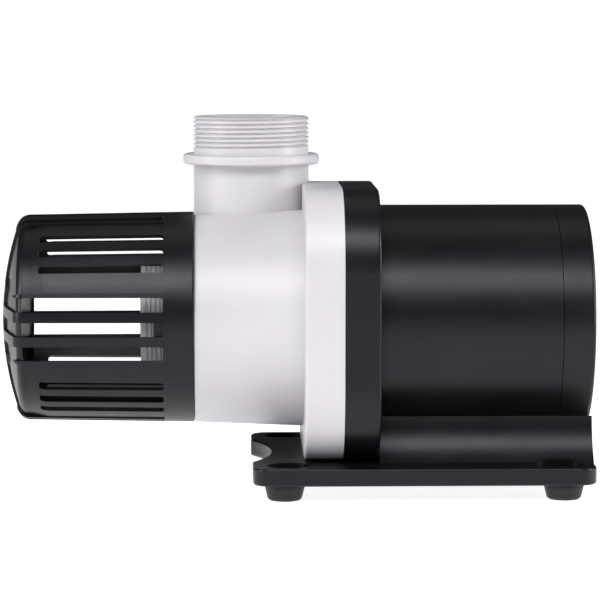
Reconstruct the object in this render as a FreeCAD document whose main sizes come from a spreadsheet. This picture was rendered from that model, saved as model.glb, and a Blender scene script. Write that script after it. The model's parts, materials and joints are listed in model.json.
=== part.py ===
import FreeCAD, Part
import Sketcher, PartDesign
import math
import os
import re

# Submersible circulation pump lying on its base, in millimetres.
# X runs along the pump axis from the strainer (-X) to the motor's rear (+X).
# Z is up, the feet stand on z = 0 and the pump axis is in the plane y = 0.

os.makedirs("parts", exist_ok=True)

doc = FreeCAD.newDocument("Pump")

# ---------------------------------------------------------------- dimensions

DIMENSIONS = {
    # Whole pump
    "axis_height": 85.5,
    # Strainer
    "nose_front": -148.9,
    "nose_dome_r": 148.0,
    "nose_edge_r": 45.9,
    "nose_corner_r": 6.6,
    "cage_front_x": -134.8,
    "cage_front_r": 52.4,
    "cage_back_x": -51.35,
    "cage_back_r": 53.8,
    "cage_wall": 2.8,
    "cage_ring_x": -66.5,
    "slot_pitch": 12.2,
    "slot_width": 7.2,
    "slot_nose_y": 18.5,
    "fan_slot_start": -128.7,
    "fan_slot_width": 4.9,
    "fan_slot_angle": 10.6,
    "fan_recess_depth": 0.7,
    "fan_angle": 50.0,
    "scoop_start": -126.0,
    "scoop_end_r": 27.0,
    "liner_depth": 1.6,
    "cage_turn": 1.3,
    "cage_rise": 0.8,
    "clip_length": 4.7,
    "clip_width": 7.6,
    "clip_inner_r": 47.4,
    # Volute housing
    "barrel_front": -51.0,
    "barrel_front_r": 53.0,
    "flange_front": 3.9,
    "barrel_back_r": 55.3,
    "chamber_r": 49.8,
    "front_wall": 3.5,
    "flange_split": 23.2,
    "flange_half": 68.4,
    "flange_corner_r": 39.5,
    "flange_edge_r": 1.2,
    "well_seat_r": 59.5,
    "well_seat_depth": 4.0,
    "spigot_front": -78.3,
    "thread_r": 29.8,
    "thread_pitch": 2.309,
    "thread_depth": 1.25,
    "pipe_bore_r": 25.0,
    "inlet_bore_length": 12.0,
    "eye_r": 24.6,
    "outlet_x": -21.9,
    "outlet_y": 24.5,
    "outlet_top": 102.4,
    "outlet_bore_length": 40.0,
    "collar_low": 77.9,
    "collar_high": 83.1,
    "collar_r": 35.2,
    "register_r": 49.7,
    "register_length": 5.0,
    "spider_hub_r": 7.5,
    "spider_front": -64.7,
    "spider_back": -52.7,
    "spider_rib": 3.0,
    # Motor housing
    "flange_back": 41.3,
    "motor_r": 57.9,
    "motor_bore_r": 54.4,
    "cap_seam": 132.0,
    "motor_back": 148.3,
    "lip_r": 52.0,
    "lip_back": 28.2,
    # Seals
    "seal_r": 1.2,
    "seal_groove": 2.5,
    "seal_ring_r": 55.6,
    # Rotor well
    "well_front": 19.4,
    "well_flange_r": 59.2,
    "well_inner_r": 18.4,
    "well_outer_r": 20.2,
    "well_end": 96.4,
    "well_socket_front": 91.5,
    "well_socket_back": 102.4,
    "well_socket_r": 8.0,
    # Chamber back plate
    "plate_front": -3.6,
    "plate_r": 49.5,
    "plate_hole_r": 9.5,
    # Shaft and bearings
    "shaft_r": 3.0,
    "shaft_front": -60.6,
    "shaft_back": 99.4,
    "seat_r": 5.0,
    "bearing_inner_r": 3.05,
    "bearing_outer_r": 6.0,
    "bearing_length": 12.0,
    "washer_r": 6.6,
    # Rotor
    "hub_front": -50.6,
    "hub_r": 9.0,
    "impeller_r": 40.0,
    "shroud_front": -42.6,
    "shroud_back": -40.1,
    "disc_front": -9.6,
    "disc_back": -6.6,
    "vane_thick": 2.4,
    "vane_curve": 34.0,
    "neck_front": -48.8,
    "neck_r": 24.1,
    "sleeve_r": 8.0,
    "sleeve_back": 89.4,
    "magnet_front": 25.4,
    "magnet_back": 87.4,
    "magnet_r": 17.6,
    # Stator
    "stator_front": 39.4,
    "stator_back": 83.4,
    "stator_r": 50.0,
    "stator_bore_r": 20.7,
    "tooth_half": 5.6,
    "coil_half": 9.8,
    "coil_inner_r": 26.0,
    "coil_outer_r": 40.5,
    "coil_overhang": 5.0,
    # Base stand
    "plate_low": 8.15,
    "plate_high": 17.0,
    "stand_front": -22.0,
    "stand_back": 149.1,
    "stand_half": 64.3,
    "stand_corner_r": 9.0,
    "stand_notch_half": 38.0,
    "stand_notch_bend": 77.2,
    "cradle_front": 41.6,
    "cradle_top_half": 35.0,
    "cradle_foot_half": 45.5,
    "cradle_r": 58.1,
    "cove_r": 30.0,
    "stand_edge_r": 1.2,
    # Feet
    "foot_front_x": -6.2,
    "foot_back_x": 133.2,
    "foot_y": 52.0,
    "foot_r": 9.9,
    "foot_tip_r": 8.6,
    "foot_neck_r": 5.5,
    "foot_head_r": 7.2,
    "foot_bore_r": 2.6,
    "foot_recess_r": 8.6,
    "foot_ledge": 4.0,
    # Screws
    "screw_r": 2.0,
    "screw_head_r": 3.9,
    "screw_circle": 69.0,
    "base_screw_y": 18.0,
    "base_screw_front": 59.4,
    "base_screw_back": 116.4,
    # Cable gland
    "gland_up": 20.0,
    "gland_recess_r": 14.0,
    "gland_floor": 138.4,
    "gland_thread_r": 7.0,
    "gland_bore_r": 3.8,
}

dims = doc.addObject("Spreadsheet::Sheet", "Dims")
for row, (alias, size) in enumerate(DIMENSIONS.items(), start=1):
    dims.set(f"A{row}", alias)
    dims.set(f"B{row}", str(size))
    dims.setAlias(f"B{row}", alias)
doc.recompute()


# ------------------------------------------------------------------- helpers

def expand(formula):
    """Formula with each dimension name pointing at the spreadsheet."""
    return re.sub(r"\b([a-z]+_[a-z_]+)\b", r"Dims.\1", str(formula))


def size_of(formula):
    """Value of a formula in millimetres or degrees."""
    value = dims.evalExpression(expand(formula))
    return float(getattr(value, "Value", value))


def bind(target, prop, formula):
    target.setExpression(prop, expand(formula))


def new_body(name, height="axis_height"):
    """Body drawn about the pump axis and lifted to its height."""
    body = doc.addObject("PartDesign::Body", name)
    body.Label = name
    bind(body, "Placement.Base.z", height)
    return body


def new_group(name, height="axis_height"):
    """Body that may hold several separate solids."""
    body = new_body(name, height)
    body.AllowCompound = True
    return body


def origin_part(body, role):
    return next(part for part in body.Origin.OriginFeatures if part.Role == role)


def new_sketch(body, name, plane, shift=(0, 0, 0), turn=None):
    """Sketch on an origin plane, shifted and turned in that plane's own frame."""
    sketch = body.newObject("Sketcher::SketchObject", name)
    sketch.AttachmentSupport = [(origin_part(body, plane), "")]
    sketch.MapMode = "FlatFace"
    if turn is not None:
        axis, angle = turn
        sketch.AttachmentOffset = FreeCAD.Placement(
            FreeCAD.Vector(0, 0, 0), FreeCAD.Rotation(FreeCAD.Vector(*axis), angle))
    for key, formula in zip("xyz", shift):
        bind(sketch, f"AttachmentOffset.Base.{key}", formula)
    return sketch


def fix_point(sketch, geometry, end, u, v):
    """Hold a point of the sketch at two spreadsheet formulas."""
    for kind, formula in (("DistanceX", u), ("DistanceY", v)):
        index = sketch.addConstraint(
            Sketcher.Constraint(kind, -1, 1, geometry, end, size_of(formula)))
        bind(sketch, f"Constraints[{index}]", formula)


def outline(sketch, corners):
    """Closed outline. A corner is (u, v) or (u, v, radius): the radius bends the
    edge that leaves the corner, positive with its centre on the left of the way."""
    first = len(sketch.Geometry)
    starts = []
    ends = []
    for index, corner in enumerate(corners):
        following = corners[(index + 1) % len(corners)]
        start = FreeCAD.Vector(size_of(corner[0]), size_of(corner[1]), 0)
        end = FreeCAD.Vector(size_of(following[0]), size_of(following[1]), 0)
        if len(corner) == 2:
            sketch.addGeometry(Part.LineSegment(start, end), False)
            starts.append(1)
            ends.append(2)
            continue
        radius = size_of(corner[2])
        chord = end - start
        left = FreeCAD.Vector(-chord.y, chord.x, 0).normalize()
        rise = math.sqrt(radius ** 2 - (chord.Length / 2) ** 2)
        centre = (start + end) * 0.5 + left * math.copysign(rise, radius)
        begin, finish = (start, end) if radius > 0 else (end, start)
        angles = [math.atan2(p.y - centre.y, p.x - centre.x) for p in (begin, finish)]
        circle = Part.Circle(centre, FreeCAD.Vector(0, 0, 1), abs(radius))
        sketch.addGeometry(Part.ArcOfCircle(circle, *angles), False)
        starts.append(1 if radius > 0 else 2)
        ends.append(2 if radius > 0 else 1)
    for index, corner in enumerate(corners):
        geometry = first + index
        following = (index + 1) % len(corners)
        sketch.addConstraint(Sketcher.Constraint(
            "Coincident", geometry, ends[index], first + following, starts[following]))
        fix_point(sketch, geometry, starts[index], corner[0], corner[1])
        if len(corner) == 3:
            sign = "" if size_of(corner[2]) > 0 else "-1 * "
            held = sketch.addConstraint(
                Sketcher.Constraint("Radius", geometry, abs(size_of(corner[2]))))
            bind(sketch, f"Constraints[{held}]", f"{sign}({corner[2]})")


def circle(sketch, radius, u="0", v="0"):
    """Circle whose radius and centre are spreadsheet formulas."""
    centre = FreeCAD.Vector(size_of(u), size_of(v), 0)
    index = sketch.addGeometry(
        Part.Circle(centre, FreeCAD.Vector(0, 0, 1), size_of(radius)), False)
    held = sketch.addConstraint(Sketcher.Constraint("Radius", index, size_of(radius)))
    bind(sketch, f"Constraints[{held}]", radius)
    fix_point(sketch, index, 3, u, v)


def rectangle(sketch, u_low, u_high, v_low, v_high):
    outline(sketch, [(u_low, v_low), (u_high, v_low), (u_high, v_high), (u_low, v_high)])


def rounded_box(sketch, u_low, u_high, v_low, v_high, radius):
    """Rectangle with four equal round corners."""
    near_u, far_u = f"{u_low} + {radius}", f"{u_high} - {radius}"
    near_v, far_v = f"{v_low} + {radius}", f"{v_high} - {radius}"
    outline(sketch, [
        (near_u, v_low), (far_u, v_low, radius),
        (u_high, near_v), (u_high, far_v, radius),
        (far_u, v_high), (near_u, v_high, radius),
        (u_low, far_v), (u_low, near_v, radius),
    ])


def feature(body, kind, name, sketch, settings, formulas):
    """Add a PartDesign feature made from a sketch, with its sizes bound."""
    made = body.newObject(f"PartDesign::{kind}", name)
    made.Profile = sketch
    for prop, value in settings.items():
        setattr(made, prop, value)
    for prop, formula in formulas.items():
        bind(made, prop, formula)
    body.Tip = made
    return made


def pad(body, name, sketch, length, back=False, both=False):
    side = "Symmetric" if both else "One side"
    return feature(body, "Pad", name, sketch, {"Reversed": back, "SideType": side}, {"Length": length})


def pocket(body, name, sketch, length, forward=False, both=False):
    """Cut against the sketch's normal, or along it when forward is set."""
    side = "Symmetric" if both else "One side"
    return feature(body, "Pocket", name, sketch, {"Reversed": forward, "SideType": side}, {"Length": length})


def revolve(body, name, sketch, axis="H_Axis"):
    return feature(body, "Revolution", name, sketch, {"ReferenceAxis": (sketch, [axis]), "Angle": 360}, {})


def groove(body, name, sketch, axis="H_Axis"):
    return feature(body, "Groove", name, sketch, {"ReferenceAxis": (sketch, [axis]), "Angle": 360}, {})


def thread(body, name, sketch, height, axis):
    """Right-handed external thread cut by one turning groove."""
    made = body.newObject("PartDesign::SubtractiveHelix", name)
    made.Profile = sketch
    made.ReferenceAxis = (sketch, [axis])
    made.Mode = 0
    bind(made, "Pitch", "thread_pitch")
    bind(made, "Height", height)
    made.Angle = 0
    made.Growth = 0
    made.LeftHanded = False
    made.Reversed = False
    body.Tip = made
    return made


def around_axis(body, name, originals, count):
    """Repeat features evenly about the pump axis."""
    made = body.newObject("PartDesign::PolarPattern", name)
    made.Originals = originals
    made.Axis = (origin_part(body, "X_Axis"), [""])
    made.Angle = 360
    made.Occurrences = count
    body.Tip = made
    return made


def mirrored(body, name, originals, plane):
    made = body.newObject("PartDesign::Mirrored", name)
    made.Originals = originals
    made.MirrorPlane = (origin_part(body, plane), [""])
    body.Tip = made
    return made


def round_edges(body, name, radius, chosen):
    """Fillet the edges of the current tip for which chosen(edge) is true."""
    doc.recompute()
    base = body.Tip
    names = [f"Edge{i}" for i, edge in enumerate(base.Shape.Edges, start=1) if chosen(edge)]
    if not names:
        raise RuntimeError(f"{name}: no edge to round")
    made = body.newObject("PartDesign::Fillet", name)
    made.Base = (base, names)
    bind(made, "Radius", radius)
    body.Tip = made
    return made


def turned(name, profiles, cuts=(), height="axis_height"):
    """Body of revolution about the pump axis from solid and cut profiles."""
    body = new_body(name, height)
    for index, corners in enumerate(profiles, start=1):
        sketch = new_sketch(body, f"{name}_profile_{index}", "XZ_Plane")
        outline(sketch, corners)
        revolve(body, f"{name}_solid_{index}", sketch)
    for index, corners in enumerate(cuts, start=1):
        sketch = new_sketch(body, f"{name}_cut_profile_{index}", "XZ_Plane")
        outline(sketch, corners)
        groove(body, f"{name}_cut_{index}", sketch)
    return body


def band(x_low, x_high, r_low, r_high):
    """Rectangular profile between two stations and two radii."""
    return [(x_low, r_low), (x_high, r_low), (x_high, r_high), (x_low, r_high)]


def on_outline_at(x, reach):
    """Test for edges that lie in the plane X = x, further than reach from the axis."""
    def test(edge):
        flat = all(abs(vertex.X - size_of(x)) < 0.01 for vertex in edge.Vertexes)
        far = all(math.hypot(vertex.Y, vertex.Z) > reach for vertex in edge.Vertexes)
        return flat and far
    return test


# ------------------------------------------------------------------ strainer

cage = new_body("strainer_cage", "axis_height + cage_rise")


def dome_x(radius, depth):
    """Station of the nose dome, or of a surface some depth below it, at a radius."""
    return f"(nose_front + nose_dome_r - sqrt((nose_dome_r - {depth}) ^ 2 - ({radius}) ^ 2))"


skin = new_sketch(cage, "cage_profile", "XZ_Plane")
outline(skin, [
    ("nose_front", "0"),
    ("nose_front + cage_wall", "0", "-1 * (nose_dome_r - cage_wall)"),
    (dome_x("nose_edge_r - 0.6", "cage_wall"), "nose_edge_r - 0.6", "-1 * (nose_corner_r - cage_wall)"),
    ("cage_front_x", "cage_front_r - cage_wall"),
    ("cage_back_x", "cage_back_r - cage_wall"),
    ("cage_back_x", "cage_back_r"),
    ("cage_front_x", "cage_front_r", "nose_corner_r"),
    (dome_x("nose_edge_r", "0"), "nose_edge_r", "nose_dome_r"),
])
revolve(cage, "cage_skin", skin)

# Between the main slot groups the corner is stepped down, over the liner added below.
cutter = new_sketch(cage, "scoop_profile", "XZ_Plane", turn=((1, 0, 0), 45))
outline(cutter, [
    ("scoop_start", "cage_front_r + 2"),
    ("scoop_start", "cage_front_r - 0.6"),
    ("cage_front_x + 1", "cage_front_r - 1.9"),
    ("cage_front_x - 2", "cage_front_r - 1.9"),
    ("cage_front_x - 2", "scoop_end_r"),
    ("nose_front - 2", "scoop_end_r"),
    ("nose_front - 2", "cage_front_r + 2"),
])
scoop = feature(cage, "Groove", "scoop", cutter,
                {"ReferenceAxis": (cutter, ["H_Axis"]), "Midplane": True}, {"Angle": "fan_angle"})
around_axis(cage, "scoops", [scoop], 4)
fan_sketch = new_sketch(cage, "wall_fan_profile", "XZ_Plane", turn=((1, 0, 0), 45))
outline(fan_sketch, [
    ("scoop_start - 2", "cage_front_r + 0.19 - fan_recess_depth"),
    ("cage_ring_x", "cage_back_r - 0.273 - fan_recess_depth"),
    ("cage_ring_x", "cage_back_r + 2"),
    ("scoop_start - 2", "cage_front_r + 2"),
])
fan = feature(cage, "Groove", "wall_fan", fan_sketch,
              {"ReferenceAxis": (fan_sketch, ["H_Axis"]), "Midplane": True}, {"Angle": "fan_angle"})
around_axis(cage, "wall_fans", [fan], 4)

# Three long slots face each side and run over the corner onto the dome.
for index, step in enumerate((-1, 0, 1), start=1):
    sketch = new_sketch(cage, f"main_slot_{index}_profile", "XZ_Plane", shift=(0, 0, "slot_nose_y"))
    rounded_box(sketch, "nose_front - 8", "cage_ring_x", f"{step} * slot_pitch - slot_width / 2",
                f"{step} * slot_pitch + slot_width / 2", "1.2")
    slot = pocket(cage, f"main_slot_{index}", sketch, "60", forward=True)
    around_axis(cage, f"main_slot_{index}_ring", [slot], 4)

# Three shorter slots run along each fan.
for index, step in enumerate((-1, 0, 1), start=1):
    angle = 45 + step * size_of("fan_slot_angle")
    sketch = new_sketch(cage, f"fan_slot_{index}_profile", "XZ_Plane", turn=((1, 0, 0), angle))
    rounded_box(sketch, "fan_slot_start", "cage_ring_x", "-1 * fan_slot_width / 2",
                "fan_slot_width / 2", "1.6")
    slot = pocket(cage, f"fan_slot_{index}", sketch, "60", forward=True)
    around_axis(cage, f"fan_slot_{index}_ring", [slot], 4)

# Thin liner that closes the slots and scoops over the nose and the corner.
liner = new_sketch(cage, "liner_profile", "XZ_Plane")
outline(liner, [
    ("nose_front + liner_depth", "0"),
    ("nose_front + cage_wall + 0.4", "0", "-1 * (nose_dome_r - cage_wall - 0.4)"),
    (dome_x("nose_edge_r - 1", "(cage_wall + 0.4)"), "nose_edge_r - 1", "-1 * (nose_corner_r - cage_wall)"),
    ("cage_front_x - 1.6", "cage_front_r - cage_wall - 0.6"),
    ("cage_front_x - 1.6", "cage_front_r - liner_depth - 0.2", "nose_corner_r - 1"),
    (dome_x("nose_edge_r - 0.4", "liner_depth"), "nose_edge_r - 0.4", "nose_dome_r - liner_depth"),
])
revolve(cage, "liner", liner)

# Clip tabs behind the middle slot of each side.
tab = new_sketch(cage, "clip_profile", "XZ_Plane", shift=(0, 0, "clip_inner_r"))
rectangle(tab, "cage_ring_x - clip_length", "cage_ring_x + 7",
          "-1 * clip_width / 2", "clip_width / 2")
clip = pad(cage, "clip", tab, "3.6")
around_axis(cage, "clip_ring", [clip], 4)
cage.Placement = FreeCAD.Placement(
    FreeCAD.Vector(0, 0, 0), FreeCAD.Rotation(FreeCAD.Vector(1, 0, 0), size_of("cage_turn")))
round_edges(cage, "cage_rim", "0.6", on_outline_at("cage_back_x", size_of("cage_back_r") - 1))

# ------------------------------------------------------------ volute housing

volute = new_body("volute_housing")

barrel = new_sketch(volute, "barrel_profile", "XZ_Plane")
outline(barrel, [
    ("barrel_front", "0"),
    ("flange_front + 1", "0"),
    ("flange_front + 1", "barrel_back_r"),
    ("barrel_front", "barrel_front_r"),
])
revolve(volute, "barrel", barrel)
round_edges(volute, "barrel_rim", "0.8", on_outline_at("barrel_front", 50))

plate = new_sketch(volute, "flange_outline", "YZ_Plane", shift=(0, 0, "flange_front"))
rounded_box(plate, "-1 * flange_half", "flange_half", "-1 * flange_half", "flange_half", "flange_corner_r")
pad(volute, "flange", plate, "flange_split - flange_front")
round_edges(volute, "flange_edge", "flange_edge_r", on_outline_at("flange_front", 60))

tower = new_sketch(volute, "outlet_circle", "XY_Plane")
circle(tower, "thread_r", "outlet_x", "outlet_y")
pad(volute, "outlet_tube", tower, "outlet_top")
round_edges(volute, "outlet_lip", "1.3",
            lambda edge: edge.Closed and abs(edge.CenterOfMass.z - size_of("outlet_top")) < 0.01)

rim = new_sketch(volute, "collar_circle", "XY_Plane", shift=(0, 0, "collar_low"))
circle(rim, "collar_r", "outlet_x", "outlet_y")
pad(volute, "collar", rim, "collar_high - collar_low")
round_edges(volute, "collar_edge", "1.4",
            lambda edge: edge.Closed and abs(edge.BoundBox.XLength - 2 * size_of("collar_r")) < 0.01)

trim = new_sketch(volute, "front_trim_profile", "XZ_Plane")
outline(trim, band("barrel_front - 3", "barrel_front", "0", "cage_back_r + cage_rise + 0.6"))
groove(volute, "front_trim", trim)

nozzle = new_sketch(volute, "spigot_circle", "YZ_Plane", shift=(0, 0, "spigot_front"))
circle(nozzle, "thread_r")
pad(volute, "inlet_spigot", nozzle, "barrel_front - spigot_front + 1")
round_edges(volute, "spigot_lip", "1.0", on_outline_at("spigot_front", 20))

register = new_sketch(volute, "register_profile", "XZ_Plane")
outline(register, band("barrel_front - register_length", "barrel_front + 1", "register_r - 3", "register_r"))
revolve(volute, "strainer_register", register)

# The outlet's bore is wider over its upper part, down to a seat.
for name, radius, start in (("outlet_throat", "pipe_bore_r - 1.2", "0"),
                            ("outlet_bore", "pipe_bore_r", "outlet_top - outlet_bore_length")):
    sketch = new_sketch(volute, f"{name}_circle", "XY_Plane", shift=(0, 0, start))
    circle(sketch, radius, "outlet_x", "outlet_y")
    pocket(volute, name, sketch, "outlet_top + 1", forward=True)

hollow = new_sketch(volute, "chamber_profile", "XZ_Plane")
outline(hollow, [
    ("spigot_front - 1", "0"),
    ("flange_split + 1", "0"),
    ("flange_split + 1", "well_seat_r"),
    ("flange_split - well_seat_depth", "well_seat_r"),
    ("flange_split - well_seat_depth", "seal_ring_r + 1.6"),
    ("flange_split - well_seat_depth - seal_groove", "seal_ring_r + 1.6"),
    ("flange_split - well_seat_depth - seal_groove", "seal_ring_r - 1.6"),
    ("flange_split - well_seat_depth", "seal_ring_r - 1.6"),
    ("flange_split - well_seat_depth", "chamber_r"),
    ("barrel_front + front_wall", "chamber_r"),
    ("barrel_front + front_wall", "eye_r"),
    ("spigot_front + inlet_bore_length", "eye_r"),
    ("spigot_front + inlet_bore_length", "pipe_bore_r"),
    ("spigot_front - 1", "pipe_bore_r"),
])
groove(volute, "chamber", hollow)

# Three-armed spider across the eye, with a socket for the front shaft seat.
arm = new_sketch(volute, "spider_arm_profile", "YZ_Plane", shift=(0, 0, "spider_front + 2"))
rectangle(arm, "-1 * spider_rib / 2", "spider_rib / 2", "spider_hub_r - 1", "eye_r + 1")
rib = pad(volute, "spider_arm", arm, "spider_back - spider_front - 4")
around_axis(volute, "spider_arms", [rib], 3)
core = new_sketch(volute, "spider_hub_profile", "XZ_Plane")
outline(core, [
    ("spider_front", "0"),
    ("spider_front + 3.9", "0"),
    ("spider_front + 3.9", "seat_r + 0.05"),
    ("spider_back", "seat_r + 0.05"),
    ("spider_back", "spider_hub_r"),
    ("spider_front + 3", "spider_hub_r"),
    ("spider_front", "spider_hub_r - 3"),
])
revolve(volute, "spider_hub", core)

# Pipe threads on the outlet and on the inlet spigot.
coil = new_sketch(volute, "outlet_thread_profile", "XZ_Plane",
                  shift=("outlet_x", 0, "-1 * outlet_y"))
outline(coil, [
    ("thread_r + 0.4", "collar_high + 1.6"),
    ("thread_r + 0.4", "collar_high + 3.5"),
    ("thread_r - thread_depth", "collar_high + 2.7"),
    ("thread_r - thread_depth", "collar_high + 2.4"),
])
thread(volute, "outlet_thread", coil, "7 * thread_pitch", "V_Axis")
screw_line = new_sketch(volute, "inlet_thread_profile", "XZ_Plane")
outline(screw_line, [
    ("spigot_front + 2.0", "thread_r + 0.4"),
    ("spigot_front + 2.8", "thread_r - thread_depth"),
    ("spigot_front + 3.1", "thread_r - thread_depth"),
    ("spigot_front + 3.9", "thread_r + 0.4"),
])
thread(volute, "inlet_thread", screw_line, "7 * thread_pitch", "H_Axis")

# Counterbored holes for the casing screws, one in each flange corner.
for name, radius, start, depth in (
    ("screw_hole", "screw_r + 0.2", "flange_front - 1", "flange_split - flange_front + 2"),
    ("screw_sink", "screw_head_r + 0.4", "flange_front - 1", "6"),
):
    sketch = new_sketch(volute, f"{name}_circle", "YZ_Plane", shift=(0, 0, start))
    circle(sketch, radius, "screw_circle * 0.70711", "screw_circle * 0.70711")
    hole = pocket(volute, name, sketch, depth, forward=True)
    around_axis(volute, f"{name}_ring", [hole], 4)

# ------------------------------------------------------------- motor housing

motor = new_body("motor_housing")

plate = new_sketch(motor, "flange_outline", "YZ_Plane", shift=(0, 0, "flange_split"))
rounded_box(plate, "-1 * flange_half", "flange_half", "-1 * flange_half", "flange_half", "flange_corner_r")
pad(motor, "flange", plate, "flange_back - flange_split")
round_edges(motor, "flange_edge", "flange_edge_r + 0.5", on_outline_at("flange_back", 60))

shell = new_sketch(motor, "shell_profile", "XZ_Plane")
outline(shell, band("flange_split + 1", "cap_seam", "motor_bore_r - 4", "motor_r"))
revolve(motor, "shell", shell)
inside = new_sketch(motor, "bore_profile", "XZ_Plane")
outline(inside, [
    ("flange_split - 1", "0"),
    ("cap_seam + 1", "0"),
    ("cap_seam + 1", "motor_bore_r"),
    ("lip_back", "motor_bore_r"),
    ("lip_back", "lip_r"),
    ("flange_split - 1", "lip_r"),
])
groove(motor, "bore", inside)
seal_seat = new_sketch(motor, "seal_groove_profile", "XZ_Plane")
outline(seal_seat, band("flange_split - 1", "flange_split + seal_groove",
                        "seal_ring_r - 1.6", "seal_ring_r + 1.6"))
groove(motor, "seal_groove", seal_seat)

# Bosses inside the shell take the base screws from below.
boss_sketch = new_sketch(motor, "boss_circles", "XY_Plane", shift=(0, 0, "-1 * motor_r + 5.3"))
for x in ("base_screw_front", "base_screw_back"):
    for side in (-1, 1):
        circle(boss_sketch, "5.5", x, f"{side} * base_screw_y")
pad(motor, "bosses", boss_sketch, "4.4")
tapped = new_sketch(motor, "boss_holes", "XY_Plane", shift=(0, 0, "-1 * motor_r - 1"))
for x in ("base_screw_front", "base_screw_back"):
    for side in (-1, 1):
        circle(tapped, "screw_r + 0.05", x, f"{side} * base_screw_y")
pocket(motor, "boss_taps", tapped, "9.6", forward=True)

corner_holes = new_sketch(motor, "screw_hole_circle", "YZ_Plane", shift=(0, 0, "flange_split - 1"))
circle(corner_holes, "screw_r + 0.05", "screw_circle * 0.70711", "screw_circle * 0.70711")
hole = pocket(motor, "screw_hole", corner_holes, "13", forward=True)
around_axis(motor, "screw_hole_ring", [hole], 4)

# ------------------------------------------------------------------ rear cap

cap = turned("rear_cap", [[
    ("cap_seam - 8", "motor_bore_r - 3.4"),
    ("cap_seam - 8", "motor_bore_r - 0.1"),
    ("cap_seam - 4.5", "motor_bore_r - 0.1"),
    ("cap_seam - 4.5", "motor_bore_r - 2.7"),
    ("cap_seam - 1.5", "motor_bore_r - 2.7"),
    ("cap_seam - 1.5", "motor_bore_r - 0.1"),
    ("cap_seam + 0.3", "motor_bore_r - 0.1"),
    ("cap_seam + 0.3", "motor_r"),
    ("motor_back", "motor_r"),
    ("motor_back", "0"),
    ("motor_back - 3.5", "0"),
    ("motor_back - 3.5", "motor_bore_r - 3.4"),
]])
round_edges(cap, "cap_edge", "2.0", on_outline_at("motor_back", 40))
dish = new_sketch(cap, "gland_dish_circle", "YZ_Plane", shift=(0, 0, "gland_floor - 4"))
circle(dish, "gland_recess_r + 3", 0, "gland_up")
pad(cap, "gland_dish", dish, "motor_back - gland_floor + 2")
well = new_sketch(cap, "gland_recess_circle", "YZ_Plane", shift=(0, 0, "gland_floor"))
circle(well, "gland_recess_r", 0, "gland_up")
pocket(cap, "gland_recess", well, "20", forward=True)
opening = new_sketch(cap, "gland_hole_circle", "YZ_Plane", shift=(0, 0, "gland_floor - 6"))
circle(opening, "gland_thread_r + 0.15", 0, "gland_up")
pocket(cap, "gland_hole", opening, "8", forward=True)

# ------------------------------------------------------------------- O-rings


def seal(name, x, radius):
    """Round-section ring about the pump axis."""
    ring = doc.addObject("Part::Torus", name)
    ring.Label = name
    ring.Placement = FreeCAD.Placement(
        FreeCAD.Vector(0, 0, 0), FreeCAD.Rotation(FreeCAD.Vector(0, 1, 0), 90))
    bind(ring, "Radius1", radius)
    bind(ring, "Radius2", "seal_r")
    bind(ring, "Placement.Base.x", x)
    bind(ring, "Placement.Base.z", "axis_height")


seal("casing_seal", "flange_split - well_seat_depth - seal_r - 0.05", "seal_ring_r")
seal("well_seal", "flange_split + seal_r + 0.05", "seal_ring_r")
seal("rear_cap_seal", "cap_seam - 3", "motor_bore_r - seal_r - 0.05")

# ---------------------------------------------- rotor well and chamber plate

turned("rotor_well", [[
    ("well_front", "well_inner_r"),
    ("well_front", "well_flange_r"),
    ("flange_split - 0.1", "well_flange_r"),
    ("flange_split - 0.1", "well_outer_r"),
    ("well_end", "well_outer_r"),
    ("well_end", "well_socket_r"),
    ("well_socket_back", "well_socket_r"),
    ("well_socket_back", "0"),
    ("shaft_back + 0.1", "0"),
    ("shaft_back + 0.1", "seat_r + 0.05"),
    ("well_socket_front", "seat_r + 0.05"),
    ("well_socket_front", "well_socket_r"),
    ("well_end - 3", "well_socket_r"),
    ("well_end - 3", "well_inner_r"),
]])

turned("chamber_plate", [[
    ("plate_front", "plate_hole_r"),
    ("plate_front", "plate_r"),
    ("well_front - 0.1", "plate_r"),
    ("well_front - 0.1", "plate_r - 3.5"),
    ("plate_front + 4", "plate_r - 3.5"),
    ("plate_front + 4", "plate_hole_r"),
]])

# -------------------------------------------------- shaft, seats and washers

turned("shaft", [band("shaft_front", "shaft_back", "0", "shaft_r")])
turned("front_shaft_seat", [band("shaft_front", "spider_back", "shaft_r + 0.05", "seat_r")])
turned("rear_shaft_seat", [band("well_socket_front", "shaft_back", "shaft_r + 0.05", "seat_r")])
turned("thrust_washer_front", [band("spider_back + 0.1", "hub_front - 0.4", "bearing_inner_r", "washer_r")])
turned("thrust_washer_rear",
       [band("sleeve_back + 0.4", "well_socket_front - 0.1", "bearing_inner_r", "washer_r")])
turned("rotor_bearing_front",
       [band("hub_front", "hub_front + bearing_length", "bearing_inner_r", "bearing_outer_r")])
turned("rotor_bearing_rear",
       [band("sleeve_back - bearing_length", "sleeve_back", "bearing_inner_r", "bearing_outer_r")])

# --------------------------------------------------------------------- rotor

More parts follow.
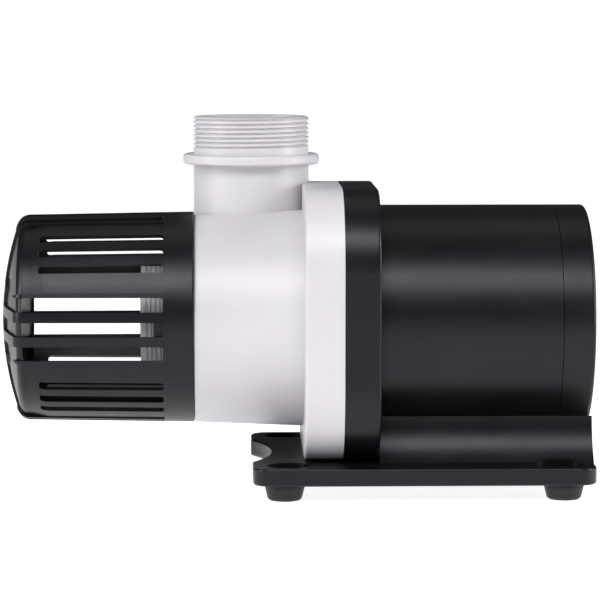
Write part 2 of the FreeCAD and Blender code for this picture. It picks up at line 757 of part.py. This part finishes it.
impeller = turned("impeller", [[
    ("hub_front", "bearing_outer_r + 0.05"),
    ("hub_front", "hub_r - 1.5"),
    ("hub_front + 3", "hub_r"),
    ("disc_front - 6", "hub_r"),
    ("disc_front", "hub_r + 6"),
    ("disc_front", "impeller_r"),
    ("disc_back", "impeller_r"),
    ("disc_back", "sleeve_r"),
    ("sleeve_back", "sleeve_r"),
    ("sleeve_back", "bearing_outer_r + 0.05"),
    ("sleeve_back - bearing_length", "bearing_outer_r + 0.05"),
    ("sleeve_back - bearing_length", "shaft_r + 1.2"),
    ("hub_front + bearing_length", "shaft_r + 1.2"),
    ("hub_front + bearing_length", "bearing_outer_r + 0.05"),
]])
blade = new_sketch(impeller, "vane_outline", "YZ_Plane", shift=(0, 0, "shroud_back + 0.1"))
outline(blade, [
    ("hub_r + 4", "0", "-1 * vane_curve"),
    ("impeller_r * 0.52", "-1 * impeller_r * 0.84"),
    ("impeller_r * 0.52 - vane_thick * 1.05", "-1 * impeller_r * 0.84 - vane_thick * 0.1",
     "vane_curve + vane_thick"),
    ("hub_r + 4 - vane_thick", "0"),
])
vane = pad(impeller, "vane", blade, "disc_front - shroud_back")
around_axis(impeller, "vanes", [vane], 6)

turned("impeller_shroud", [[
    ("neck_front", "neck_r - 2"),
    ("neck_front", "neck_r"),
    ("shroud_front", "neck_r"),
    ("shroud_front", "impeller_r"),
    ("shroud_back", "impeller_r"),
    ("shroud_back", "neck_r - 2"),
]])

turned("magnet_rotor", [[
    ("magnet_front + 1", "sleeve_r + 0.05"),
    ("magnet_front", "sleeve_r + 1"),
    ("magnet_front", "magnet_r - 1"),
    ("magnet_front + 1", "magnet_r"),
    ("magnet_back - 1", "magnet_r"),
    ("magnet_back", "magnet_r - 1"),
    ("magnet_back", "sleeve_r + 0.05"),
]])

# -------------------------------------------------------------------- stator

stator = turned("stator_core", [band("stator_front", "stator_back", "stator_bore_r", "stator_r")])
gap = new_sketch(stator, "slot_outline", "YZ_Plane", shift=(0, 0, "stator_front - 1"), turn=((0, 0, 1), 30))
outline(gap, [
    ("stator_bore_r - 2", "-1.5"),
    ("coil_inner_r - 1.5", "-1.5"),
    ("coil_inner_r - 1.5", "-0.34 * coil_inner_r"),
    ("coil_outer_r + 1.2", "-0.43 * coil_outer_r"),
    ("coil_outer_r + 1.2", "0.43 * coil_outer_r"),
    ("coil_inner_r - 1.5", "0.34 * coil_inner_r"),
    ("coil_inner_r - 1.5", "1.5"),
    ("stator_bore_r - 2", "1.5"),
])
slot = pocket(stator, "slot", gap, "stator_back - stator_front + 2", forward=True)
around_axis(stator, "slots", [slot], 6)

# One winding sits round each of the six teeth.
coils = new_group("stator_coils")
block = new_sketch(coils, "coil_outline", "YZ_Plane", shift=(0, 0, "stator_front - coil_overhang"))
outline(block, [
    ("coil_inner_r", "-1 * coil_half + 2.5"),
    ("coil_outer_r", "-1 * coil_half"),
    ("coil_outer_r", "coil_half"),
    ("coil_inner_r", "coil_half - 2.5"),
])
winding = pad(coils, "coil", block, "stator_back - stator_front + 2 * coil_overhang")
window = new_sketch(coils, "coil_window", "YZ_Plane", shift=(0, 0, "stator_front - 0.3"))
rectangle(window, "coil_inner_r - 1", "coil_outer_r + 1", "-1 * tooth_half - 0.6", "tooth_half + 0.6")
gap = pocket(coils, "tooth_gap", window, "stator_back - stator_front + 0.6", forward=True)
around_axis(coils, "coil_ring", [winding, gap], 6)

# Cast resin fills the shell round and behind the stator.
resin = turned("potting_fill", [[
    ("lip_back + 1", "stator_r + 0.15"),
    ("lip_back + 1", "motor_bore_r - 0.1"),
    ("cap_seam - 8.5", "motor_bore_r - 0.1"),
    ("cap_seam - 8.5", "0"),
    ("well_socket_back + 1", "0"),
    ("well_socket_back + 1", "stator_r + 0.15"),
]])
room = new_sketch(resin, "boss_room_circles", "XY_Plane", shift=(0, 0, "-1 * motor_r - 1"))
for x in ("base_screw_front", "base_screw_back"):
    for side in (-1, 1):
        circle(room, "6", x, f"{side} * base_screw_y")
pocket(resin, "boss_room", room, "14", forward=True)

# ---------------------------------------------------------------- base stand

stand = new_body("base_stand", "0")
deck = new_sketch(stand, "deck_outline", "XY_Plane", shift=(0, 0, "plate_low"))
outline(deck, [
    ("stand_front + stand_corner_r", "-1 * stand_half"),
    ("stand_back - stand_corner_r", "-1 * stand_half", "stand_corner_r"),
    ("stand_back", "-1 * stand_half + stand_corner_r"),
    ("stand_back", "stand_half - stand_corner_r", "stand_corner_r"),
    ("stand_back - stand_corner_r", "stand_half"),
    ("stand_front + stand_corner_r", "stand_half", "stand_corner_r"),
    ("stand_front", "stand_half - stand_corner_r"),
    ("stand_front", "stand_notch_half", "-1 * stand_notch_bend"),
    ("stand_front", "-1 * stand_notch_half"),
    ("stand_front", "-1 * stand_half + stand_corner_r", "stand_corner_r"),
])
pad(stand, "deck", deck, "plate_high - plate_low")


def deck_rim(edge):
    """Outer edges of the deck's top and bottom faces."""
    heights = [vertex.Z for vertex in edge.Vertexes]
    return len(heights) > 1 and abs(heights[0] - heights[1]) < 0.01


round_edges(stand, "deck_edge", "stand_edge_r", deck_rim)

# Cradle with a hollow flare on each side and a round seat for the motor.
saddle = new_sketch(stand, "cradle_outline", "YZ_Plane", shift=(0, 0, "cradle_front"))
outline(saddle, [
    ("-1 * cradle_foot_half", "plate_high - 1"),
    ("cradle_foot_half", "plate_high - 1"),
    ("cradle_foot_half", "plate_high", "-1 * cove_r"),
    ("cradle_top_half", "axis_height - sqrt(cradle_r ^ 2 - cradle_top_half ^ 2) - 0.01", "-1 * cradle_r"),
    ("-1 * cradle_top_half", "axis_height - sqrt(cradle_r ^ 2 - cradle_top_half ^ 2) - 0.01", "-1 * cove_r"),
    ("-1 * cradle_foot_half", "plate_high"),
])
pad(stand, "cradle", saddle, "stand_back - cradle_front")

# Oblong recesses over the feet, each with a through hole for the foot's neck.
recess = new_sketch(stand, "recess_outline", "XY_Plane", shift=(0, 0, "plate_low + foot_ledge"))
for low, high in (("foot_front_x - foot_recess_r", "foot_front_x + foot_recess_r + 3.6"),
                  ("foot_back_x - foot_recess_r - 6", "foot_back_x + foot_recess_r + 1")):
    for side in (-1, 1):
        rounded_box(recess, low, high, f"{side} * foot_y - foot_recess_r",
                    f"{side} * foot_y + foot_recess_r", "(foot_recess_r - 0.05)")
pocket(stand, "foot_recess", recess, "40", forward=True)
through = new_sketch(stand, "neck_circles", "XY_Plane", shift=(0, 0, "plate_low - 1"))
for x in ("foot_front_x", "foot_back_x"):
    for side in (-1, 1):
        circle(through, "foot_neck_r + 0.05", x, f"{side} * foot_y")
pocket(stand, "foot_holes", through, "foot_ledge + 2", forward=True)
for name, radius, depth in (("base_screw_hole", "screw_r + 0.3", "60"),
                            ("base_screw_sink", "screw_head_r + 0.4", "6.4")):
    sketch = new_sketch(stand, f"{name}_circles", "XY_Plane", shift=(0, 0, "plate_low - 1"))
    for x in ("base_screw_front", "base_screw_back"):
        for side in (-1, 1):
            circle(sketch, radius, x, f"{side} * base_screw_y")
    pocket(stand, name, sketch, depth, forward=True)

# ---------------------------------------------------------------------- feet

for end, x in (("front", "foot_front_x"), ("back", "foot_back_x")):
    for side, sign in (("left", 1), ("right", -1)):
        name = f"foot_{end}_{side}"
        foot = new_body(name, "0")
        bind(foot, "Placement.Base.x", x)
        bind(foot, "Placement.Base.y", f"{sign} * foot_y")
        sketch = new_sketch(foot, f"{name}_profile", "XZ_Plane")
        outline(sketch, [
            ("foot_bore_r", "0"),
            ("foot_tip_r - 1", "0"),
            ("foot_tip_r", "1"),
            ("foot_r", "plate_low - 2"),
            ("foot_r", "plate_low - 0.02"),
            ("foot_neck_r", "plate_low - 0.02"),
            ("foot_neck_r", "plate_low + foot_ledge + 0.02"),
            ("foot_head_r", "plate_low + foot_ledge + 0.02"),
            ("foot_head_r - 0.8", "plate_low + foot_ledge + 2.6"),
            ("foot_bore_r", "plate_low + foot_ledge + 2.6"),
        ])
        revolve(foot, f"{name}_solid", sketch, axis="V_Axis")

# -------------------------------------------------------------------- screws


def screw_profile(body, name, plane, shift, length, turn=None):
    """Cylinder-head screw seated on the sketch's origin, shank along +u."""
    sketch = new_sketch(body, f"{name}_profile", plane, shift=shift, turn=turn)
    outline(sketch, [
        ("-2.6", "0"),
        (length, "0"),
        (length, "screw_r - 0.8"),
        (f"{length} - 1", "screw_r"),
        ("0", "screw_r"),
        ("0", "screw_head_r"),
        ("-2", "screw_head_r"),
        ("-2.6", "screw_head_r - 0.6"),
    ])
    made = revolve(body, name, sketch)
    socket = new_sketch(body, f"{name}_socket", plane, shift=shift, turn=turn)
    outline(socket, band("-3.6", "-1.2", "0", "1.4"))
    return made, groove(body, f"{name}_drive", socket)


corner = new_group("casing_screws")
parts = screw_profile(corner, "screw", "XZ_Plane",
                      ("flange_front + 4.95", "screw_circle * 0.70711", "screw_circle * 0.70711"), "24")
around_axis(corner, "screw_ring", list(parts), 4)

under = new_group("base_screws", "0")
features = []
for end, x in (("front", "base_screw_front"), ("back", "base_screw_back")):
    features += screw_profile(under, f"{end}_screw", "XZ_Plane",
                              (x, "plate_low + 5.35", "base_screw_y"), "21", turn=((0, 0, 1), 90))
mirrored(under, "other_side", features, "XZ_Plane")

# --------------------------------------------------------------- cable gland

gland_height = "axis_height + gland_up"
turned("gland_body", [[
    ("gland_floor - 10", "gland_bore_r"),
    ("gland_floor - 10", "gland_thread_r"),
    ("gland_floor + 0.05", "gland_thread_r"),
    ("gland_floor + 0.05", "gland_thread_r + 3.5"),
    ("gland_floor + 3", "gland_thread_r + 3.5"),
    ("gland_floor + 8.5", "gland_thread_r + 1"),
    ("gland_floor + 8.5", "gland_bore_r + 0.8"),
    ("gland_floor + 7.9", "gland_bore_r"),
]], height=gland_height)
gland_nut = new_body("gland_nut", gland_height)
hexagon = new_sketch(gland_nut, "nut_outline", "YZ_Plane", shift=(0, 0, "gland_floor - 9"))
outline(hexagon, [(f"11 * cos({60 * k})", f"11 * sin({60 * k})") for k in range(6)])
pad(gland_nut, "nut", hexagon, "4.9")
nut_bore = new_sketch(gland_nut, "nut_bore_circle", "YZ_Plane", shift=(0, 0, "gland_floor - 10"))
circle(nut_bore, "gland_thread_r + 0.05")
pocket(gland_nut, "nut_bore", nut_bore, "10", forward=True)

# -------------------------------------------------------------- check, write

doc.recompute()
problems = [item.Label for item in doc.Objects if {"Invalid", "Error"} & set(item.State)]
NODES = [item for item in doc.Objects if item.TypeId in ("PartDesign::Body", "Part::Torus")]
for node in NODES:
    if node.Shape.isNull() or not node.Shape.isValid() or not node.Shape.Solids:
        problems.append(f"{node.Label} shape")
if problems:
    raise RuntimeError("not built: " + ", ".join(problems))
for node in NODES:
    node.Shape.exportStep(f"parts/{node.Label}.step")
print(len(NODES), "parts written")
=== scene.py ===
import json
import math

import bpy
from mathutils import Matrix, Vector

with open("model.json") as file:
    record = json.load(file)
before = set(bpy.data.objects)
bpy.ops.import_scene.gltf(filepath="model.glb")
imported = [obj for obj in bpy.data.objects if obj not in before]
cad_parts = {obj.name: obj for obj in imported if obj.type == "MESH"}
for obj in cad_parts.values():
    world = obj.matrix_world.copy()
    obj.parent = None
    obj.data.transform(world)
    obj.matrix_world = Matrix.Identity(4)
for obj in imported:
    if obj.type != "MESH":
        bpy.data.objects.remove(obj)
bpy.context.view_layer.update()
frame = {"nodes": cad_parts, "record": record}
nodes = frame["nodes"]
scene = bpy.context.scene

# Sizes are in metres, light in watts, the sun in watts per square metre.
GRAIN_DEPTH = 0.0002
WAVE_DEPTH = 0.0006
WAVE_SHARE = 0.35
CLOUD_SCALE = 22.0
GLOSS_SCALE = 55.0
WAVE_SCALE = 14.0
FLOOR_REACH = 40.0
FLOOR_GLOW = 0.90
SKY_SEEN = 1.0
SKY_LIGHT = 0.06
SUN_STRENGTH = 0.8
SUN_ANGLE = math.radians(30.0)
SUN_DIRECTION = (0.22, 0.68, -0.80)
LIGHT_AIM = (0.0, 0.0, 0.09)
LENS = 176.8
SENSOR = 36.0
CAMERA_PLACE = (-0.038, -1.503, 0.2472)
CAMERA_AIM = (0.0028, 0.0, 0.0946)


# ----------------------------------------------------------------- materials

def new_material(name):
    """Material with an empty tree and its output and shader in place."""
    material = bpy.data.materials.new(name)
    material.use_nodes = True
    tree = material.node_tree
    tree.nodes.clear()
    output = tree.nodes.new("ShaderNodeOutputMaterial")
    shader = tree.nodes.new("ShaderNodeBsdfPrincipled")
    tree.links.new(shader.outputs["BSDF"], output.inputs["Surface"])
    return material, tree, shader


def noise(tree, scale, detail=4.0, roughness=0.55, stretch=(1.0, 1.0, 1.0)):
    """Noise over the object's own coordinates, stretched along its axes."""
    coordinates = tree.nodes.new("ShaderNodeTexCoord")
    mapping = tree.nodes.new("ShaderNodeMapping")
    mapping.inputs["Scale"].default_value = stretch
    texture = tree.nodes.new("ShaderNodeTexNoise")
    texture.inputs["Scale"].default_value = scale
    texture.inputs["Detail"].default_value = detail
    texture.inputs["Roughness"].default_value = roughness
    tree.links.new(coordinates.outputs["Object"], mapping.inputs["Vector"])
    tree.links.new(mapping.outputs["Vector"], texture.inputs["Vector"])
    return texture.outputs["Fac"]


def ramp(tree, source, low, high, start=0.3, end=0.7):
    """Colour ramp between two colours."""
    node = tree.nodes.new("ShaderNodeValToRGB")
    node.color_ramp.elements[0].position = start
    node.color_ramp.elements[1].position = end
    node.color_ramp.elements[0].color = (*low, 1.0)
    node.color_ramp.elements[1].color = (*high, 1.0)
    tree.links.new(source, node.inputs["Fac"])
    return node.outputs["Color"]


def spread(tree, source, low, high):
    """Map the middle of a noise source onto a range of numbers."""
    node = tree.nodes.new("ShaderNodeMapRange")
    node.inputs["From Min"].default_value = 0.3
    node.inputs["From Max"].default_value = 0.7
    node.inputs["To Min"].default_value = low
    node.inputs["To Max"].default_value = high
    tree.links.new(source, node.inputs["Value"])
    return node.outputs["Result"]


def bump(tree, layers):
    """Stack bumps, each a (height source, strength, distance in metres)."""
    normal = None
    for source, strength, distance in layers:
        node = tree.nodes.new("ShaderNodeBump")
        node.inputs["Strength"].default_value = strength
        node.inputs["Distance"].default_value = distance
        tree.links.new(source, node.inputs["Height"])
        if normal is not None:
            tree.links.new(normal, node.inputs["Normal"])
        normal = node.outputs["Normal"]
    return normal


def moulded(name, low, high, gloss, grain, relief, specular=0.5, stretch=(1.0, 1.0, 1.0), metal=0.0,
            tint=(1.0, 1.0, 1.0)):
    """Moulded or cast surface: cloudy colour, uneven gloss and a fine grain."""
    material, tree, shader = new_material(name)
    cloud = noise(tree, CLOUD_SCALE, 5.0)
    tree.links.new(ramp(tree, cloud, low, high), shader.inputs["Base Color"])
    wear = noise(tree, GLOSS_SCALE, 3.0, stretch=stretch)
    tree.links.new(spread(tree, wear, *gloss), shader.inputs["Roughness"])
    layers = [
        (noise(tree, grain, 2.0, 0.6, stretch), relief, GRAIN_DEPTH),
        (noise(tree, WAVE_SCALE, 2.0), relief * WAVE_SHARE, WAVE_DEPTH),
    ]
    tree.links.new(bump(tree, layers), shader.inputs["Normal"])
    shader.inputs["Specular IOR Level"].default_value = specular
    shader.inputs["Metallic"].default_value = metal
    shader.inputs["Specular Tint"].default_value = (*tint, 1.0)
    return material


MATERIALS = {
    "black_plastic": moulded(
        "black_plastic_look", (0.0030, 0.0030, 0.0040), (0.0050, 0.0050, 0.0064),
        (0.30, 0.37), 1500.0, 0.20, specular=0.31, tint=(0.92, 0.90, 1.0)),
    "white_plastic": moulded(
        "white_plastic_look", (0.525, 0.505, 0.54), (0.57, 0.55, 0.585),
        (0.34, 0.44), 1300.0, 0.10),
    "dark_plastic": moulded(
        "dark_plastic_look", (0.030, 0.030, 0.034), (0.050, 0.050, 0.056),
        (0.40, 0.52), 1200.0, 0.20),
    "seal_rubber": moulded(
        "seal_rubber_look", (0.010, 0.010, 0.010), (0.022, 0.022, 0.022),
        (0.62, 0.78), 1800.0, 0.30),
    "foot_rubber": moulded(
        "foot_rubber_look", (0.005, 0.005, 0.006), (0.010, 0.010, 0.012),
        (0.42, 0.52), 1400.0, 0.30, specular=0.35),
    "ceramic": moulded(
        "ceramic_look", (0.74, 0.72, 0.66), (0.84, 0.82, 0.77),
        (0.10, 0.20), 900.0, 0.05),
    "carbon": moulded(
        "carbon_look", (0.020, 0.020, 0.021), (0.045, 0.045, 0.047),
        (0.35, 0.5), 2200.0, 0.25),
    "magnet": moulded(
        "magnet_look", (0.050, 0.050, 0.055), (0.090, 0.090, 0.098),
        (0.30, 0.45), 1600.0, 0.30),
    "lamination": moulded(
        "lamination_look", (0.30, 0.30, 0.32), (0.48, 0.48, 0.50),
        (0.30, 0.45), 400.0, 0.5, stretch=(18.0, 1.0, 1.0), metal=1.0),
    "copper": moulded(
        "copper_look", (0.45, 0.17, 0.07), (0.66, 0.29, 0.13),
        (0.25, 0.38), 500.0, 0.7, stretch=(1.0, 6.0, 6.0), metal=1.0),
    "resin": moulded(
        "resin_look", (0.018, 0.016, 0.014), (0.035, 0.032, 0.028),
        (0.30, 0.50), 300.0, 0.20),
    "steel": moulded(
        "steel_look", (0.50, 0.50, 0.52), (0.62, 0.62, 0.64),
        (0.22, 0.34), 700.0, 0.15, stretch=(1.0, 5.0, 5.0), metal=1.0),
}

for part in frame["record"]["subparts"]:
    item = nodes[part["node"]]
    look = MATERIALS[part["material_slot"]]
    if not item.material_slots:
        item.data.materials.append(look)
    for place in item.material_slots:
        place.material = look

# --------------------------------------------------------------------- stage

def pale_floor():
    """Wide matt floor that glows a little, so that it reads as white paper."""
    corners = [(x * FLOOR_REACH, y * FLOOR_REACH, 0) for x, y in ((-1, -1), (1, -1), (1, 1), (-1, 1))]
    mesh = bpy.data.meshes.new("floor")
    mesh.from_pydata(corners, [], [(0, 1, 2, 3)])
    floor = bpy.data.objects.new("floor", mesh)
    scene.collection.objects.link(floor)
    paper, tree, shader = new_material("paper_look")
    tone = ramp(tree, noise(tree, 3.0), (0.49, 0.49, 0.49), (0.52, 0.52, 0.52))
    tree.links.new(tone, shader.inputs["Base Color"])
    shader.inputs["Roughness"].default_value = 0.9
    shader.inputs["Specular IOR Level"].default_value = 0.0
    shader.inputs["Emission Color"].default_value = (1.0, 1.0, 1.0, 1.0)
    shader.inputs["Emission Strength"].default_value = FLOOR_GLOW
    floor.data.materials.append(paper)
    return floor


def studio_world():
    """White where the camera sees past the floor, and dim as a source of light."""
    world = bpy.data.worlds.new("studio")
    scene.world = world
    world.use_nodes = True
    sky = world.node_tree
    sky.nodes.clear()
    output = sky.nodes.new("ShaderNodeOutputWorld")
    seen = sky.nodes.new("ShaderNodeBackground")
    seen.inputs["Color"].default_value = (1.0, 1.0, 1.0, 1.0)
    seen.inputs["Strength"].default_value = SKY_SEEN
    lit = sky.nodes.new("ShaderNodeBackground")
    lit.inputs["Color"].default_value = (0.95, 0.95, 1.0, 1.0)
    lit.inputs["Strength"].default_value = SKY_LIGHT
    path = sky.nodes.new("ShaderNodeLightPath")
    mix = sky.nodes.new("ShaderNodeMixShader")
    sky.links.new(path.outputs["Is Camera Ray"], mix.inputs["Fac"])
    sky.links.new(lit.outputs["Background"], mix.inputs[1])
    sky.links.new(seen.outputs["Background"], mix.inputs[2])
    sky.links.new(mix.outputs["Shader"], output.inputs["Surface"])


def soft_sun():
    """Broad main light from above the camera's left shoulder."""
    data = bpy.data.lights.new("main", "SUN")
    data.energy = SUN_STRENGTH
    data.angle = SUN_ANGLE
    sun = bpy.data.objects.new("main", data)
    sun.rotation_euler = Vector(SUN_DIRECTION).to_track_quat("-Z", "Y").to_euler()
    scene.collection.objects.link(sun)


def softbox(name, place, size, power):
    """Rectangular studio light turned to the pump."""
    data = bpy.data.lights.new(name, "AREA")
    data.shape = "RECTANGLE"
    data.size, data.size_y = size
    data.energy = power
    light = bpy.data.objects.new(name, data)
    light.location = place
    light.rotation_euler = (Vector(LIGHT_AIM) - Vector(place)).to_track_quat("-Z", "Y").to_euler()
    scene.collection.objects.link(light)


pale_floor()
studio_world()
soft_sun()
softbox("key", (-0.1, -1.08, 1.13), (1.6, 0.52), 13.0)
softbox("top", (0.0, 0.5, 1.8), (1.8, 0.9), 2.5)
softbox("left", (-1.7, -0.5, 0.7), (0.5, 1.2), 19.0)
softbox("right", (1.8, -0.3, 0.6), (0.5, 1.2), 24.0)

# -------------------------------------------------------------------- camera

camera_data = bpy.data.cameras.new("camera")
camera_data.sensor_width = SENSOR
camera_data.lens = LENS
camera = bpy.data.objects.new("camera", camera_data)
camera.location = CAMERA_PLACE
direction = Vector(CAMERA_AIM) - Vector(CAMERA_PLACE)
camera.rotation_euler = direction.to_track_quat("-Z", "Y").to_euler()
scene.collection.objects.link(camera)
scene.camera = camera
scene.view_settings.view_transform = "Standard"
